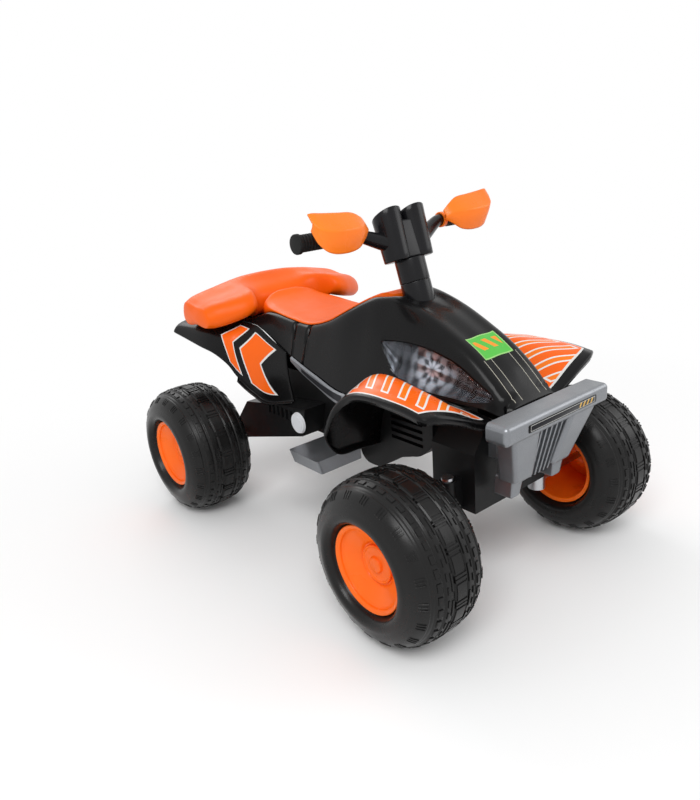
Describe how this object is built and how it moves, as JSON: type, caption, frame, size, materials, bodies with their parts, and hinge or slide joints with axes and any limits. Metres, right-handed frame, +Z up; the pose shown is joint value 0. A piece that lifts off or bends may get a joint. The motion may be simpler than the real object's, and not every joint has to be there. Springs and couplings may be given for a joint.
{
  "type": "ride-on quad bike",
  "caption": "Battery ride-on quad bike for children: arched moulded body over fat tyres, saddle with backrest, guarded handlebar that steers the front wheels, footrests and a front bumper.",
  "frame": {"origin": "ground under the middle of the outline", "axes": "+Z up; the rider faces -Y; the rider's right hand is on -X"},
  "size_m": [0.678, 0.99, 0.6933],
  "materials": {
    "body_black": "gloss moulded",
    "seat_orange": "satin moulded",
    "guard_orange": "gloss moulded",
    "rim_orange": "gloss moulded",
    "tyre_black": "semi-gloss blow moulded",
    "trim_grey": "satin metallic grey",
    "chassis_black": "satin moulded",
    "lens_clear": "clear",
    "reflector_silver": "metallised",
    "steel": "zinc plated",
    "cap_white": "satin moulded",
    "grip_black": "matt",
    "gauge_black": "gloss",
    "button_red": "gloss",
    "battery_grey": "matt",
    "motor_metal": "satin",
    "bush_nylon": "matt"
  },
  "bodies": {
    "chassis": {"chassis_tub": "chassis_black", "front_bracket": "chassis_black", "upper_body": "body_black", "front_fender_right": "body_black", "front_fender_left": "body_black", "rear_fender_right": "body_black", "rear_fender_left": "body_black", "saddle": "seat_orange", "backrest": "seat_orange", "bumper": "trim_grey", "headlight_lens_right": "lens_clear", "headlight_lens_left": "lens_clear", "headlight_reflector_right": "reflector_silver", "headlight_reflector_left": "reflector_silver", "side_trim_right": "trim_grey", "side_trim_left": "trim_grey", "footrest_right": "trim_grey", "footrest_left": "trim_grey", "engine_cover_right": "chassis_black", "engine_cover_left": "chassis_black", "rear_arm_right": "chassis_black", "rear_arm_left": "chassis_black", "arm_cap_right": "cap_white", "arm_cap_left": "cap_white", "battery": "battery_grey", "drive_motor": "motor_metal", "drive_gearbox": "chassis_black", "steering_bushes": "bush_nylon"},
    "steering": {"steering_shaft": "steel", "column_cover": "body_black", "handlebar": "body_black", "grip_right": "grip_black", "grip_left": "grip_black", "hand_guard_right": "guard_orange", "hand_guard_left": "guard_orange", "gauge_right": "gauge_black", "gauge_left": "gauge_black"},
    "throttle": {"throttle_button": "button_red"},
    "direction": {"direction_switch": "button_red"},
    "tie_rod": {"tie_rod": "steel"},
    "wheel_rear_right": {"tyre_rear_right": "tyre_black", "rim_rear_right": "rim_orange", "rear_axle": "steel", "hub_cap_rear_right": "rim_orange", "hub_cap_rear_left": "rim_orange"},
    "wheel_rear_left": {"tyre_rear_left": "tyre_black", "rim_rear_left": "rim_orange"},
    "knuckle_right": {"steering_knuckle_right": "steel", "kingpin_right": "steel", "hub_cap_front_right": "rim_orange"},
    "wheel_front_right": {"tyre_front_right": "tyre_black", "rim_front_right": "rim_orange"},
    "knuckle_left": {"steering_knuckle_left": "steel", "kingpin_left": "steel", "hub_cap_front_left": "rim_orange"},
    "wheel_front_left": {"tyre_front_left": "tyre_black", "rim_front_left": "rim_orange"}
  },
  "joints": [
    {"name": "steer", "type": "hinge", "parent": "chassis", "child": "steering", "pos_m": [0, -0.164, 0.524], "axis": [0, 0.2974, 0.9548], "range_deg": [-36, 36]},
    {"name": "throttle_press", "type": "slide", "parent": "steering", "child": "throttle", "axis": [0, -0.9548, 0.2974], "range_m": [0, 0.003], "stiffness_N_per_m": 300},
    {"name": "direction_rock", "type": "hinge", "parent": "steering", "child": "direction", "pos_m": [0, -0.11398, 0.61735], "axis": [1, 0, 0], "range_deg": [-7, 7]},
    {"name": "knuckle_turn_right", "type": "hinge", "parent": "chassis", "child": "knuckle_right", "pos_m": [-0.128, -0.347, 0.2], "axis": [0, 0, 1], "range_deg": [-18.2, 18.2]},
    {"name": "wheel_spin_front_right", "type": "hinge", "parent": "knuckle_right", "child": "wheel_front_right", "pos_m": [-0.2575, -0.347, 0.148], "axis": [1, 0, 0], "continuous": true},
    {"name": "wheel_spin_rear_right", "type": "hinge", "parent": "chassis", "child": "wheel_rear_right", "pos_m": [-0.2575, 0.347, 0.148], "axis": [1, 0, 0], "continuous": true},
    {"name": "knuckle_turn_left", "type": "hinge", "parent": "chassis", "child": "knuckle_left", "pos_m": [0.128, -0.347, 0.2], "axis": [0, 0, 1], "range_deg": [-18.2, 18.2]},
    {"name": "wheel_spin_front_left", "type": "hinge", "parent": "knuckle_left", "child": "wheel_front_left", "pos_m": [0.2575, -0.347, 0.148], "axis": [1, 0, 0], "continuous": true},
    {"name": "wheel_spin_rear_left", "type": "hinge", "parent": "chassis", "child": "wheel_rear_left", "pos_m": [0.2575, 0.347, 0.148], "axis": [1, 0, 0], "continuous": true},
    {"name": "tie_rod_turn", "type": "hinge", "parent": "knuckle_right", "child": "tie_rod", "pos_m": [-0.128, -0.287, 0.1614], "axis": [0, 0, 1], "range_deg": [-18.2, 18.2]}
  ],
  "couplings": [
    {"joint": "knuckle_turn_right", "follows": "steer", "ratio": 0.5},
    {"joint": "knuckle_turn_left", "follows": "steer", "ratio": 0.5},
    {"joint": "tie_rod_turn", "follows": "steer", "ratio": -0.5}
  ]
}
